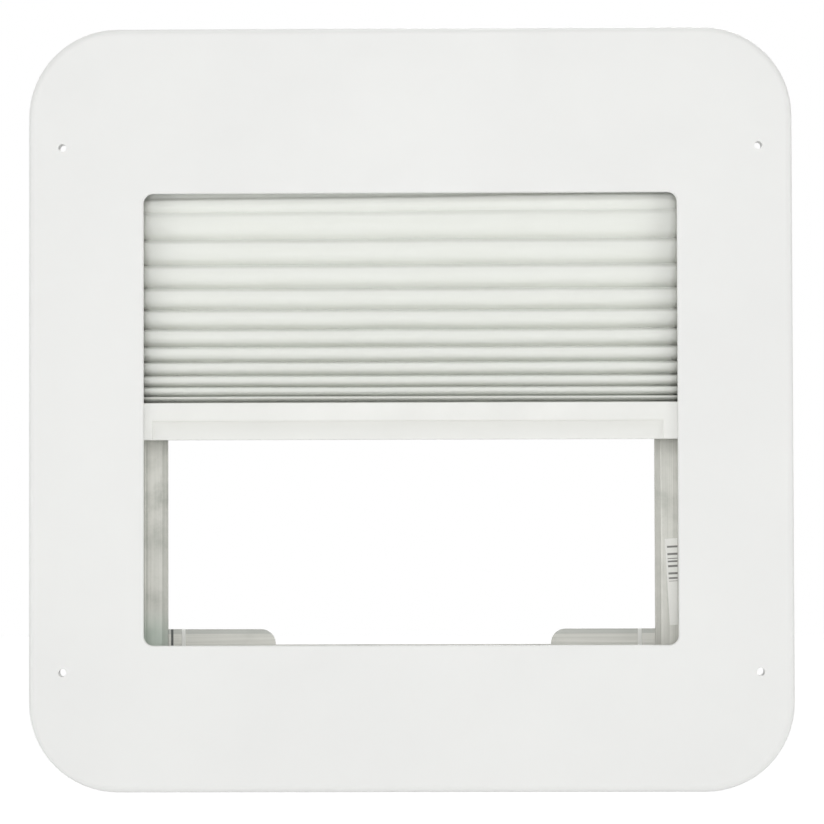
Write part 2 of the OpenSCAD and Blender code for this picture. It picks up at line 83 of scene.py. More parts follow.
def spread(tree, value, low, high, to_low=0.0, to_high=1.0):
    """Stretches the part of a pattern between low and high over to_low to to_high."""
    feeds = {"Value": value, "From Min": low, "From Max": high,
             "To Min": to_low, "To Max": to_high}
    return add(tree, "ShaderNodeMapRange", feeds).outputs["Result"]


def blend_colours(tree, share, first, second):
    feeds = {"Factor": share, 6: first, 7: second}
    return add(tree, "ShaderNodeMix", feeds, data_type="RGBA").outputs[2]


def noise(tree, where, scale, detail=2.0, roughness=0.5):
    feeds = {"Vector": where, "Scale": scale, "Detail": detail, "Roughness": roughness}
    return add(tree, "ShaderNodeTexNoise", feeds).outputs["Fac"]


def new_group(name, kind, takes, gives):
    """An empty node group; takes and gives are its sockets, as name, type and start value."""
    group = bpy.data.node_groups.new(name, kind)
    for way, sockets in (("INPUT", takes), ("OUTPUT", gives)):
        for label, socket_type, *start in sockets:
            socket = group.interface.new_socket(label, in_out=way, socket_type=socket_type)
            if start:
                socket.default_value = start[0]
    return group, add(group, "NodeGroupInput").outputs, add(group, "NodeGroupOutput").inputs


def finish_material(name, group, values, bump, **shader_values):
    """A material whose colour, roughness and bump come from one of the finish groups."""
    material = bpy.data.materials.new(name)
    material.use_nodes = True
    tree = material.node_tree
    shader = tree.nodes["Principled BSDF"]
    finish = add(tree, "ShaderNodeGroup")
    finish.node_tree = group
    for label, value in values.items():
        finish.inputs[label].default_value = value
    tree.links.new(finish.outputs["Colour"], shader.inputs["Base Color"])
    tree.links.new(finish.outputs["Roughness"], shader.inputs["Roughness"])
    relief = add(tree, "ShaderNodeBump", {"Height": finish.outputs["Height"],
                                          "Strength": 1.0, "Distance": bump})
    tree.links.new(relief.outputs["Normal"], shader.inputs["Normal"])
    for label, value in shader_values.items():
        shader.inputs[label.replace("_", " ").title().replace("Ior", "IOR")
                      ].default_value = value
    return material


def dress(node, material):
    """Gives a CAD node its material."""
    slots = nodes[node].data.materials
    slots.clear()
    slots.append(material)
    for face in nodes[node].data.polygons:
        face.material_index = 0


# Moulded plastic: a fine leathery grain, faint clouding and uneven polish. All the finishes'
# pattern scales are in repeats per metre.
CLOUD_SCALE = 7.0
RUBBED_SCALE = 45.0
DENT_SCALE, DENT_DEPTH = 60.0, 3.0
moulded, inp, out = new_group(
    "moulded_skin", "ShaderNodeTree",
    [("Colour", "NodeSocketColor", (0.8, 0.8, 0.8, 1)), ("Cloud colour", "NodeSocketColor"),
     ("Grain", "NodeSocketFloat", 900.0), ("Polish", "NodeSocketFloat", 0.4)],
    [("Colour", "NodeSocketColor"), ("Roughness", "NodeSocketFloat"),
     ("Height", "NodeSocketFloat")])
place = add(moulded, "ShaderNodeTexCoord").outputs["Object"]
clouds = spread(moulded, noise(moulded, place, CLOUD_SCALE, 3.0), 0.35, 0.7)
moulded.links.new(blend_colours(moulded, clouds, inp["Colour"], inp["Cloud colour"]),
                  out["Colour"])
rubbed = spread(moulded, noise(moulded, place, RUBBED_SCALE, 5.0, 0.6),
                0.3, 0.75, -0.05, 0.06)
moulded.links.new(calc(moulded, "ADD", inp["Polish"], rubbed), out["Roughness"])
grain = noise(moulded, place, inp["Grain"], 3.0, 0.6)
moulded.links.new(calc(moulded, "MULTIPLY_ADD", noise(moulded, place, DENT_SCALE),
                       DENT_DEPTH, grain), out["Height"])

panel_white = finish_material(
    "panel_white", moulded,
    {"Colour": (0.805, 0.809, 0.792, 1), "Cloud colour": (0.786, 0.789, 0.774, 1),
     "Grain": 1100.0, "Polish": 0.42}, 0.00003, specular_ior_level=0.35)
dress("trim_panel", panel_white)

# ---------------------------------------------------------------------------------------------
# CHANNELS
# Four lengths of folded mill-finish aluminium sheet, riveted at the corners. Rolling lines run
# along each length, with stains and scuffs from handling.
STAIN_SCALE = 55.0
PATCH_SCALE = 14.0
SCUFF_SCALE = 420.0
STAIN_DULLING = 0.22
rolled, inp, out = new_group(
    "rolled_metal", "ShaderNodeTree",
    [("Colour", "NodeSocketColor", (0.6, 0.6, 0.6, 1)), ("Stain colour", "NodeSocketColor"),
     ("Line scale", "NodeSocketVector", (1, 1, 1)), ("Polish", "NodeSocketFloat", 0.35)],
    [("Colour", "NodeSocketColor"), ("Roughness", "NodeSocketFloat"),
     ("Height", "NodeSocketFloat")])
place = add(rolled, "ShaderNodeTexCoord").outputs["Object"]
along = add(rolled, "ShaderNodeVectorMath", {0: place, 1: inp["Line scale"]},
            operation="MULTIPLY").outputs[0]
lines = noise(rolled, along, 1.0, 4.0, 0.65)
stains = spread(rolled, noise(rolled, place, STAIN_SCALE, 6.0, 0.7), 0.42, 0.72)
patches = spread(rolled, noise(rolled, place, PATCH_SCALE, 2.0), 0.35, 0.65)
dirt = calc(rolled, "MULTIPLY", stains, patches)
streaked = calc(rolled, "ADD", dirt, spread(rolled, lines, 0.35, 0.7, -0.15, 0.55))
rolled.links.new(blend_colours(rolled, calc(rolled, "MAXIMUM", streaked, 0.0),
                               inp["Colour"], inp["Stain colour"]), out["Colour"])
rolled.links.new(calc(rolled, "MULTIPLY_ADD", streaked, STAIN_DULLING, inp["Polish"]),
                 out["Roughness"])
rolled.links.new(calc(rolled, "MULTIPLY_ADD", lines, 2.0,
                      noise(rolled, place, SCUFF_SCALE, 4.0)), out["Height"])

CHANNEL_FINISH = {"Colour": (0.557, 0.554, 0.519, 1), "Stain colour": (0.451, 0.460, 0.425, 1),
                  "Polish": 0.56}
LINES_ACROSS, LINES_ALONG = 900, 5
METAL_SHARE = 0.6
LINE_DEPTH = 0.00004
upright_metal = finish_material(
    "mill_aluminium_upright", rolled,
    {**CHANNEL_FINISH, "Line scale": (LINES_ACROSS, LINES_ACROSS, LINES_ALONG)},
    LINE_DEPTH, metallic=METAL_SHARE)
level_metal = finish_material(
    "mill_aluminium_level", rolled,
    {**CHANNEL_FINISH, "Line scale": (LINES_ALONG, LINES_ACROSS, LINES_ACROSS)},
    LINE_DEPTH, metallic=METAL_SHARE)


def recolour(tree, mask, colour):
    """Lays a colour over a material's own wherever the mask is 1."""
    base = tree.nodes["Principled BSDF"].inputs["Base Color"]
    tree.links.new(blend_colours(tree, mask, base.links[0].from_socket, colour), base)


# The joggles' slopes are painted bright as a highlight. A dark line of painted shade lies beside
# the left one, where the sill's end runs under the side channel's lip, and a band along the
# free edges of the sill's tabs is painted darker.
JOGGLE_MIDDLE, JOGGLE_WIDTH = 0.1690, 0.0029
GAP_SHADE_MIDDLE, GAP_SHADE_WIDTH = -0.1776, 0.0018
TOP_BAND_DEPTH = 0.0036
BAND_BLUR = 0.0005
ABOVE_TABS = 0.001
sill_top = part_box("sill_channel")[1].z
tree = level_metal.node_tree
coordinates = add(tree, "ShaderNodeTexCoord").outputs
at = add(tree, "ShaderNodeSeparateXYZ", {0: coordinates["Object"]}).outputs
way = add(tree, "ShaderNodeSeparateXYZ", {0: coordinates["Normal"]}).outputs
on_tabs = calc(tree, "MULTIPLY", calc(tree, "LESS_THAN", at["Z"], sill_top + ABOVE_TABS),
               calc(tree, "LESS_THAN", way["Y"], -0.5))
# a band along the tabs' free top edges, painted darker
darker_top_band = calc(tree, "MULTIPLY", on_tabs, spread(
    tree, at["Z"], sill_top - TOP_BAND_DEPTH - BAND_BLUR, sill_top - TOP_BAND_DEPTH + BAND_BLUR,
    0.0, 0.7))
recolour(tree, darker_top_band, (0.36, 0.37, 0.35, 1))
# painted shade: a dark line beside the left joggle, in the gap under the side channel's lip
painted_gap_shade = calc(tree, "COMPARE", at["X"], GAP_SHADE_MIDDLE, GAP_SHADE_WIDTH / 2)
recolour(tree, calc(tree, "MULTIPLY", painted_gap_shade, on_tabs), (0.10, 0.105, 0.10, 1))
# painted highlight: the joggles' slopes, away from the webs, are painted near white
joggle_highlight = calc(tree, "COMPARE", calc(tree, "ABSOLUTE", at["X"]), JOGGLE_MIDDLE,
             JOGGLE_WIDTH / 2)
off_web = calc(tree, "LESS_THAN", calc(tree, "ABSOLUTE", way["Z"]), 0.5)
recolour(tree, calc(tree, "MULTIPLY", joggle_highlight, off_web), (0.93, 0.935, 0.91, 1))
# A greenish bloom of oxide lies in the lower left corner.
BLOOM_MIDDLE, BLOOM_REACH = Vector((-0.191, 0.026, -0.171)), 0.026
tree = upright_metal.node_tree
near = add(tree, "ShaderNodeVectorMath", {
    0: add(tree, "ShaderNodeTexCoord").outputs["Object"], 1: BLOOM_MIDDLE},
    operation="DISTANCE").outputs["Value"]
recolour(tree, spread(tree, near, BLOOM_REACH * 0.3, BLOOM_REACH, 0.75, 0.0),
         (0.40, 0.46, 0.41, 1))
for node in ("side_channel_left", "side_channel_right"):
    dress(node, upright_metal)
for node in ("head_channel", "sill_channel"):
    dress(node, level_metal)

# ---------------------------------------------------------------------------------------------
# CORNER RIVETS AND CHANNEL SCREWS
# Domed blind rivets join the channels' overlapping flanges, and zinc-plated pan-head screws
# hold the fixing flanges to bosses on the panel's back.


def solids_of(node):
    """Lowest and highest corner of each separate solid in a CAD node."""
    mesh = bmesh.new()
    mesh.from_mesh(nodes[node].data)
    bmesh.ops.remove_doubles(mesh, verts=mesh.verts, dist=1e-6)
    left, boxes = set(mesh.verts), []
    while left:
        queue, found = [left.pop()], []
        while queue:
            corner = queue.pop()
            found.append(corner.co.copy())
            for edge in corner.link_edges:
                other = edge.other_vert(corner)
                if other in left:
                    left.discard(other)
                    queue.append(other)
        boxes.append((Vector(map(min, zip(*found))), Vector(map(max, zip(*found)))))
    mesh.free()
    return sorted(boxes, key=lambda pair: tuple(round(v, 5) for v in pair[0]))


# the heads' recesses and the pins, as shares of the head and shank that they are cut in
RECESS_DEPTH = 1.1
CROSS_LENGTH, CROSS_WIDTH = 1.1, 0.24
RIVET_HOLE = 0.55


def fixing_tree(name, recess):
    """Geometry nodes that put a fixing on every point, its head along the point's axis. recess
    is "cross" for a screw and "hole" for a blind rivet."""
    tree, inp, out = new_group(
        name, "GeometryNodeTree",
        [("Seats", "NodeSocketGeometry"), ("Head radius", "NodeSocketFloat", 0.004),
         ("Head height", "NodeSocketFloat", 0.002), ("Shank radius", "NodeSocketFloat", 0.002),
         ("Shank length", "NodeSocketFloat", 0.006), ("Turn seed", "NodeSocketInt", 1),
         ("Material", "NodeSocketMaterial")],
        [("Fixings", "NodeSocketGeometry")])
    ball = add(tree, "GeometryNodeMeshUVSphere", {"Segments": 24, "Rings": 12, "Radius": 1.0})
    high = add(tree, "ShaderNodeSeparateXYZ", {0: add(tree, "GeometryNodeInputPosition")
                                               .outputs[0]}).outputs["Z"]
    lift = calc(tree, "MULTIPLY", calc(tree, "MINIMUM", high, 0.0), -1.0)
    dome = add(tree, "GeometryNodeSetPosition", {
        "Geometry": ball.outputs["Mesh"],
        "Offset": add(tree, "ShaderNodeCombineXYZ", {"Z": lift}).outputs[0]})
    size = add(tree, "ShaderNodeCombineXYZ", {"X": inp["Head radius"], "Y": inp["Head radius"],
                                              "Z": inp["Head height"]}).outputs[0]
    head = add(tree, "GeometryNodeTransform", {"Geometry": dome.outputs[0], "Scale": size})
    top = add(tree, "ShaderNodeCombineXYZ", {"Z": inp["Head height"]}).outputs[0]
    deep = calc(tree, "MULTIPLY", inp["Head height"], RECESS_DEPTH)
    if recess == "cross":
        wide = calc(tree, "MULTIPLY", inp["Head radius"], CROSS_LENGTH)
        thin = calc(tree, "MULTIPLY", inp["Head radius"], CROSS_WIDTH)
        bars = [add(tree, "GeometryNodeMeshCube", {
            "Size": add(tree, "ShaderNodeCombineXYZ", {"X": x, "Y": y, "Z": deep}).outputs[0]
        }).outputs["Mesh"] for x, y in ((wide, thin), (thin, wide))]
    else:
        bars = [add(tree, "GeometryNodeMeshCylinder", {
            "Vertices": 20, "Depth": deep,
            "Radius": calc(tree, "MULTIPLY", inp["Shank radius"], RIVET_HOLE)
        }).outputs["Mesh"]]
    cut = add(tree, "GeometryNodeMeshBoolean", operation="DIFFERENCE")
    tree.links.new(head.outputs[0], cut.inputs["Mesh 1"])
    for bar in bars:
        placed = add(tree, "GeometryNodeTransform", {"Geometry": bar, "Translation": top})
        tree.links.new(placed.outputs[0], cut.inputs["Mesh 2"])
    shank = add(tree, "GeometryNodeMeshCylinder", {
        "Vertices": 20, "Radius": inp["Shank radius"], "Depth": inp["Shank length"]})
    down = calc(tree, "MULTIPLY", inp["Shank length"], -0.5)
    pin = add(tree, "GeometryNodeTransform", {
        "Geometry": shank.outputs["Mesh"],
        "Translation": add(tree, "ShaderNodeCombineXYZ", {"Z": down}).outputs[0]})
    whole = add(tree, "GeometryNodeJoinGeometry")
    for part in (cut.outputs["Mesh"], pin.outputs[0]):
        tree.links.new(part, whole.inputs[0])
    axis = add(tree, "GeometryNodeInputNamedAttribute", {"Name": "axis"},
               data_type="FLOAT_VECTOR").outputs["Attribute"]
    aim = add(tree, "FunctionNodeAlignRotationToVector", {"Vector": axis}, axis="Z")
    twist = add(tree, "FunctionNodeRandomValue", {"Seed": inp["Turn seed"],
                                                  2: 0.0, 3: math.tau}, data_type="FLOAT")
    turn = add(tree, "FunctionNodeAxisAngleToRotation", {"Angle": twist.outputs[1]})
    facing = add(tree, "FunctionNodeRotateRotation", {
        "Rotation": aim.outputs[0], "Rotate By": turn.outputs[0]}, rotation_space="LOCAL")
    spots = add(tree, "GeometryNodeMeshToPoints", {"Mesh": inp["Seats"]})
    copies = add(tree, "GeometryNodeInstanceOnPoints", {
        "Points": spots.outputs[0], "Instance": whole.outputs[0],
        "Rotation": facing.outputs[0]})
    real = add(tree, "GeometryNodeRealizeInstances", {"Geometry": copies.outputs[0]})
    done = add(tree, "GeometryNodeSetMaterial", {"Geometry": real.outputs[0],
                                                 "Material": inp["Material"]})
    tree.links.new(done.outputs[0], out["Fixings"])
    return tree


def grown(name, start_mesh, tree, values):
    """Runs a geometry-node tree on a start mesh and keeps its result as a plain mesh."""
    start = bpy.data.objects.new(name + "_start", start_mesh)
    bpy.context.scene.collection.objects.link(start)
    modifier = start.modifiers.new("grow", "NODES")
    modifier.node_group = tree
    for item in tree.interface.items_tree:
        if item.in_out == "INPUT" and item.name in values:
            modifier[item.identifier] = values[item.name]
    start.update_tag()
    scene_state = bpy.context.evaluated_depsgraph_get()
    mesh = bpy.data.meshes.new_from_object(start.evaluated_get(scene_state),
                                           depsgraph=scene_state)
    start.modifiers.remove(modifier)
    bpy.data.objects.remove(start)
    mesh.name = name
    made = bpy.data.objects.new(name, mesh)
    bpy.context.scene.collection.objects.link(made)
    return made


SHARP_EDGE = math.radians(35)


def fixings(name, node, axis, tree, body, sizes):
    """Puts modelled fixings where a CAD node has plain ones. axis points out of the heads; the
    seat lies one head's height below the highest point along it."""
    seats, axes = [], []
    for low, high in solids_of(node):
        way = axis(low, high)
        middle = (low + high) / 2
        reach = abs((high - low).dot(way)) / 2
        seats.append(middle + way * (reach - sizes["Head height"]))
        axes.append(way)
    mesh = bpy.data.meshes.new(name + "_seats")
    mesh.from_pydata(seats, [], [])
    mesh.attributes.new("axis", "FLOAT_VECTOR", "POINT").data.foreach_set(
        "vector", [v for way in axes for v in way])
    made = grown(name, mesh, tree, sizes)
    for face in made.data.polygons:
        face.use_smooth = True
    made.data.set_sharp_from_angle(angle=SHARP_EDGE)
    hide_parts(node)
    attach(made, body)


rivet_metal = finish_material(
    "rivet_aluminium", rolled,
    {"Colour": (0.66, 0.67, 0.66, 1), "Stain colour": (0.5, 0.51, 0.5, 1),
     "Line scale": (300, 300, 300), "Polish": 0.3}, 0.00002, metallic=1.0)
plated_steel = finish_material(
    "fixing_steel", rolled,
    {"Colour": (0.6, 0.61, 0.6, 1), "Stain colour": (0.46, 0.46, 0.42, 1),
     "Line scale": (500, 500, 500), "Polish": 0.26}, 0.00002, metallic=1.0)
screw_nodes = fixing_tree("cross_screw", "cross")
fixings("corner_rivet_set", "corner_rivets", lambda low, high: Vector((0, -1, 0)),
        fixing_tree("blind_rivet", "hole"), "frame",
        {"Head radius": 0.00288, "Head height": 0.001, "Shank radius": 0.0016,
         "Shank length": 0.0034, "Turn seed": 3, "Material": rivet_metal})
fixings("channel_screw_set", "channel_screws", lambda low, high: Vector((0, 1, 0)),
        screw_nodes, "frame",
        {"Head radius": 0.0035, "Head height": 0.0021, "Shank radius": 0.00175,
         "Shank length": 0.0054, "Turn seed": 11, "Material": plated_steel})

# ---------------------------------------------------------------------------------------------
# HEAD RAIL
# An extruded aluminium box, powder-coated white, screwed up to the head channel. A plastic
# strip slides into its slot and holds the fabric's top edge.
coated, inp, out = new_group(
    "powder_coat", "ShaderNodeTree",
    [("Colour", "NodeSocketColor", (0.85, 0.85, 0.84, 1)), ("Dust colour", "NodeSocketColor"),
     ("Pebble", "NodeSocketFloat", 700.0), ("Polish", "NodeSocketFloat", 0.35)],
    [("Colour", "NodeSocketColor"), ("Roughness", "NodeSocketFloat"),
     ("Height", "NodeSocketFloat")])
DUST_SCALE, DUST_DULLING = 22.0, 0.12
place = add(coated, "ShaderNodeTexCoord").outputs["Object"]
dust = spread(coated, noise(coated, place, DUST_SCALE, 5.0, 0.6), 0.4, 0.8)
coated.links.new(blend_colours(coated, dust, inp["Colour"], inp["Dust colour"]),
                 out["Colour"])
coated.links.new(calc(coated, "MULTIPLY_ADD", dust, DUST_DULLING, inp["Polish"]),
                 out["Roughness"])
coated.links.new(noise(coated, place, inp["Pebble"], 1.0), out["Height"])

rail_white = finish_material(
    "rail_white", coated,
    {"Colour": (0.779, 0.783, 0.752, 1), "Dust colour": (0.760, 0.764, 0.734, 1),
     "Pebble": 750.0, "Polish": 0.34}, 0.00004, specular_ior_level=0.4)
strip_white = finish_material(
    "strip_white", moulded,
    {"Colour": (0.82, 0.82, 0.79, 1), "Cloud colour": (0.79, 0.79, 0.76, 1),
     "Grain": 1600.0, "Polish": 0.36}, 0.00002, specular_ior_level=0.4)
dress("head_rail", rail_white)
dress("head_strip", strip_white)
fixings("head_rail_screw_set", "head_rail_screws", lambda low, high: Vector((0, 0, 1)),
        screw_nodes, "frame",
        {"Head radius": 0.0035, "Head height": 0.0021, "Shank radius": 0.00175,
         "Shank length": 0.0042, "Turn seed": 23, "Material": plated_steel})

# ---------------------------------------------------------------------------------------------
# PLEATED SHADE
# One length of matt non-woven polyester, heat-set into thirteen pleats. It hangs from the
# head rail, its pleats drawn wide at the top and lying close above the handle.
shade_low, shade_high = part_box("pleated_shade")
SHADE = {"Width": shade_high.x - shade_low.x, "Top": shade_high.z, "Bottom": shade_low.z,
         "Middle depth": 0.00515, "Pleats": 13, "Leg": 0.0123, "Taper": 0.064,
         "Last leg": 0.001, "First drop": 0.0105, "First depth": 0.45, "Crest": 0.22, "Rise": 2.4,
         "Fall": 2.8, "Belly": 0.0018, "Lean": 0.0018, "Wander": 0.0008, "Settle": 0.0016,
         "Rows in a leg": 16,
         "Columns": 56, "Seed": 4}
FABRIC_THICKNESS = 0.00035

shade_tree, inp, out = new_group(
    "pleated_cloth", "GeometryNodeTree",
    [("Geometry", "NodeSocketGeometry"), ("Width", "NodeSocketFloat"),
     ("Top", "NodeSocketFloat"), ("Bottom", "NodeSocketFloat"),
     ("Middle depth", "NodeSocketFloat"), ("Pleats", "NodeSocketInt"),
     ("Leg", "NodeSocketFloat"), ("Taper", "NodeSocketFloat"),
     ("Last leg", "NodeSocketFloat"), ("First drop", "NodeSocketFloat"),
     ("First depth", "NodeSocketFloat"),
     ("Crest", "NodeSocketFloat"), ("Rise", "NodeSocketFloat"), ("Fall", "NodeSocketFloat"),
     ("Belly", "NodeSocketFloat"), ("Lean", "NodeSocketFloat"), ("Wander", "NodeSocketFloat"),
     ("Settle", "NodeSocketFloat"),
     ("Rows in a leg", "NodeSocketInt"), ("Columns", "NodeSocketInt"),
     ("Seed", "NodeSocketInt"), ("Material", "NodeSocketMaterial")],
    [("Cloth", "NodeSocketGeometry")])


def sum_of(operation, a, b=0.0, c=0.0):
    return calc(shade_tree, operation, a, b, c)


def within(value, low, high):
    """0 below low, 1 above high, and straight in between."""
    return spread(shade_tree, value, low, high)


rows = sum_of("MULTIPLY_ADD", sum_of("MULTIPLY", inp["Pleats"], 2.0), inp["Rows in a leg"], 1.0)
flat = add(shade_tree, "GeometryNodeMeshGrid", {
    "Size X": 1.0, "Size Y": 1.0, "Vertices X": inp["Columns"], "Vertices Y": rows})
at = add(shade_tree, "ShaderNodeSeparateXYZ",
         {0: add(shade_tree, "GeometryNodeInputPosition").outputs[0]}).outputs
# Fold counts the pleats from the top: a whole number at a fold to the back, a half between.
fold = sum_of("MULTIPLY_ADD", sum_of("SUBTRACT", 0.5, at["Y"]), inp["Pleats"], 0.5)
last = sum_of("MULTIPLY", sum_of("SUBTRACT", fold, inp["Pleats"]), 2.0)
last_share = within(last, 0.0, 1.0)
in_last = sum_of("GREATER_THAN", fold, inp["Pleats"])


def dropped(count):
    """Height taken by the pleats down to count, in units of the top pleat."""
    squares = sum_of("MULTIPLY", count, sum_of("SUBTRACT", count, 1.0))
    tightened = sum_of("MULTIPLY", squares, sum_of("MULTIPLY", inp["Taper"], 0.5))
    return sum_of("SUBTRACT", sum_of("SUBTRACT", count, 0.5), tightened)


drop = sum_of("SUBTRACT", sum_of("SUBTRACT", inp["Top"], inp["Bottom"]), inp["Last leg"])
unit = sum_of("DIVIDE", drop, dropped(inp["Pleats"]))
hung = sum_of("MULTIPLY", dropped(sum_of("MINIMUM", fold, inp["Pleats"])), unit)
tightness = sum_of("SUBTRACT", 1.0, sum_of("MULTIPLY", sum_of("SUBTRACT", fold, 0.5),
                                           inp["Taper"]))
half_pitch = sum_of("MULTIPLY", sum_of("MULTIPLY", unit, tightness), 0.5)
reach = sum_of("SQRT", sum_of("SUBTRACT", sum_of("MULTIPLY", inp["Leg"], inp["Leg"]),
                              sum_of("MULTIPLY", half_pitch, half_pitch)))
# Each pleat swells to the front between two sharp folds at the back: quickly down to its
# crest, then more and more steeply back to the next fold.
down_pleat = sum_of("FRACT", fold)
short_of_crest = sum_of("MAXIMUM", sum_of("SUBTRACT", 1.0, sum_of(
    "DIVIDE", down_pleat, inp["Crest"])), 0.0)
past_crest = within(down_pleat, inp["Crest"], 1.0)
swell = sum_of("SUBTRACT", 1.0, sum_of("ADD", sum_of("POWER", short_of_crest, inp["Rise"]),
                                       sum_of("POWER", past_crest, inp["Fall"])))
pleat = sum_of("MULTIPLY_ADD", swell, -2.0, 1.0)
first_leg = sum_of("SUBTRACT", sum_of("MULTIPLY", sum_of("LESS_THAN", fold, 1.0),
                                      sum_of("MULTIPLY", fold, 2.0)), 1.0)
last_leg = sum_of("SUBTRACT", sum_of("MULTIPLY", in_last,
                                     sum_of("SUBTRACT", 2.0, last_share)), 1.0)
swing = sum_of("MAXIMUM", sum_of("MAXIMUM", pleat, first_leg), last_leg)
# The folds lean and wander a little between the fixed top and bottom edges. The lean fades
# from fold to fold, and the waves are counted per metre across and per pleat down.
LEAN_FADE = -1.4
WAVES_ACROSS, WAVES_DOWN = 9.0, 0.8
SEED_STEP = 3.7
across = sum_of("MULTIPLY", at["X"], inp["Width"])
hold = sum_of("MULTIPLY", within(fold, 0.5, 1.5), within(
    sum_of("SUBTRACT", inp["Pleats"], fold), 0.0, 1.5))
lean = sum_of("MULTIPLY", sum_of("EXPONENT", sum_of("MULTIPLY", sum_of(
    "SUBTRACT", fold, 1.5), LEAN_FADE)), sum_of("MULTIPLY", sum_of("MULTIPLY", at["X"], 2.0),
                                                inp["Lean"]))
spot = add(shade_tree, "ShaderNodeCombineXYZ", {
    "X": sum_of("MULTIPLY", across, WAVES_ACROSS), "Y": sum_of("MULTIPLY", fold, WAVES_DOWN),
    "Z": sum_of("MULTIPLY", inp["Seed"], SEED_STEP)}).outputs[0]
wave = sum_of("SUBTRACT", noise(shade_tree, spot, 1.0, 1.0), 0.5)
wander = sum_of("MULTIPLY", sum_of("MULTIPLY", wave, 2.0),
                sum_of("MULTIPLY", inp["Wander"], tightness))
lifted = sum_of("MULTIPLY", hold, sum_of("ADD", lean, wander))
# The first fold hangs low, because the cloth drops straight out of the head rail.
first_fold = sum_of("MINIMUM", within(fold, 0.5, 1.0),
                    sum_of("SUBTRACT", 1.0, within(fold, 1.0, 2.0)))
lifted = sum_of("SUBTRACT", lifted, sum_of("MULTIPLY", first_fold, inp["First drop"]))
# The others have settled more and more, and the last pleat is pressed close above the handle.
SETTLED_FROM, SETTLED_TO = -4.0, 12.0
settled = sum_of("MULTIPLY", within(fold, 0.5, 1.0), within(fold, SETTLED_FROM, SETTLED_TO))
settled = sum_of("MULTIPLY", settled,
                 within(sum_of("SUBTRACT", inp["Pleats"], fold), 0.0, 1.0))
lifted = sum_of("SUBTRACT", lifted, sum_of("MULTIPLY", settled, inp["Settle"]))
low_end = sum_of("SUBTRACT", sum_of("SUBTRACT", inp["Top"], hung),
                 sum_of("MULTIPLY", last_share, inp["Last leg"]))
height = sum_of("ADD", low_end, lifted)
# The first two folds are drawn almost flat.
DRAWN_TO, DEEP_FROM = 2.0, 2.6
drawn = sum_of("MINIMUM", within(fold, 0.5, 1.0),
               sum_of("SUBTRACT", 1.0, within(fold, DRAWN_TO, DEEP_FROM)))
flatness = sum_of("MULTIPLY", drawn, sum_of("SUBTRACT", 1.0, inp["First depth"]))
swing = sum_of("SUBTRACT", swing, sum_of("MULTIPLY", flatness, sum_of("ADD", swing, 1.0)))
middle = sum_of("SUBTRACT", inp["Middle depth"], sum_of("MULTIPLY", hold, inp["Belly"]))
depth = sum_of("MULTIPLY_ADD", sum_of("MULTIPLY", swing, reach), 0.5, middle)
shaped = add(shade_tree, "GeometryNodeSetPosition", {
    "Geometry": flat.outputs["Mesh"],
    "Position": add(shade_tree, "ShaderNodeCombineXYZ",
                    {"X": across, "Y": depth, "Z": height}).outputs[0]})
along_cloth = sum_of("MULTIPLY", fold, sum_of("MULTIPLY", inp["Leg"], 2.0))
GRID = {"Geometry": flat.outputs["Mesh"]}
noted = add(shade_tree, "GeometryNodeStoreNamedAttribute",
            {**GRID, "Name": "fold", "Value": fold}, data_type="FLOAT", domain="POINT")
mapped = add(shade_tree, "GeometryNodeStoreNamedAttribute", {
    "Geometry": noted.outputs[0], "Name": "cloth",
    "Value": add(shade_tree, "ShaderNodeCombineXYZ",
                 {"X": across, "Y": along_cloth}).outputs[0]},
    data_type="FLOAT2", domain="CORNER")
shade_tree.links.new(mapped.outputs[0], shaped.inputs["Geometry"])
real = add(shade_tree, "GeometryNodeRealizeInstances", {"Geometry": shaped.outputs[0]})
done = add(shade_tree, "GeometryNodeSetMaterial", {"Geometry": real.outputs[0],
                                                   "Material": inp["Material"]})
shade_tree.links.new(done.outputs[0], out["Cloth"])

# The fibres lie mostly across, with a felted nap and long faint slubs, and some light comes
# through from behind.
FIBRE_SCALE = (900, 2600, 1)
SLUB_SCALE = (14, 160, 1)
FELT_SCALE = 3200.0
NAP_HEIGHT = 0.00006
LIGHT_THROUGH = 0.22
cloth = bpy.data.materials.new("shade_fabric")
cloth.use_nodes = True
tree = cloth.node_tree
shader = tree.nodes["Principled BSDF"]
on_cloth = add(tree, "ShaderNodeUVMap", uv_map="cloth").outputs["UV"]
fibre_place = add(tree, "ShaderNodeMapping", {"Vector": on_cloth, "Scale": FIBRE_SCALE})
fibres = noise(tree, fibre_place.outputs[0], 1.0, 4.0, 0.7)
felt = noise(tree, on_cloth, FELT_SCALE, 2.0)
slub_place = add(tree, "ShaderNodeMapping", {"Vector": on_cloth, "Scale": SLUB_SCALE})
slubs = spread(tree, noise(tree, slub_place.outputs[0], 1.0, 3.0), 0.35, 0.7)
body_colour = blend_colours(tree, slubs, (0.900, 0.912, 0.878, 1), (0.886, 0.898, 0.858, 1))
specks = spread(tree, fibres, 0.45, 0.75)
woven_colour = blend_colours(tree, specks, body_colour, (0.87, 0.882, 0.836, 1))
tree.links.new(woven_colour, shader.inputs["Base Color"])
tree.links.new(spread(tree, fibres, 0.2, 0.8, 0.82, 0.95), shader.inputs["Roughness"])
relief = add(tree, "ShaderNodeBump", {
    "Height": calc(tree, "ADD", fibres, felt), "Strength": 1.0, "Distance": NAP_HEIGHT})
tree.links.new(relief.outputs["Normal"], shader.inputs["Normal"])
shader.inputs["Specular IOR Level"].default_value = 0.15
shader.inputs["Sheen Weight"].default_value = 0.08
glow = add(tree, "ShaderNodeBsdfTranslucent", {"Color": woven_colour,
                                               "Normal": relief.outputs["Normal"]})
cloth_mix = add(tree, "ShaderNodeMixShader", {0: LIGHT_THROUGH})
tree.links.new(shader.outputs[0], cloth_mix.inputs[1])
tree.links.new(glow.outputs[0], cloth_mix.inputs[2])
tree.links.new(cloth_mix.outputs[0], tree.nodes["Material Output"].inputs["Surface"])

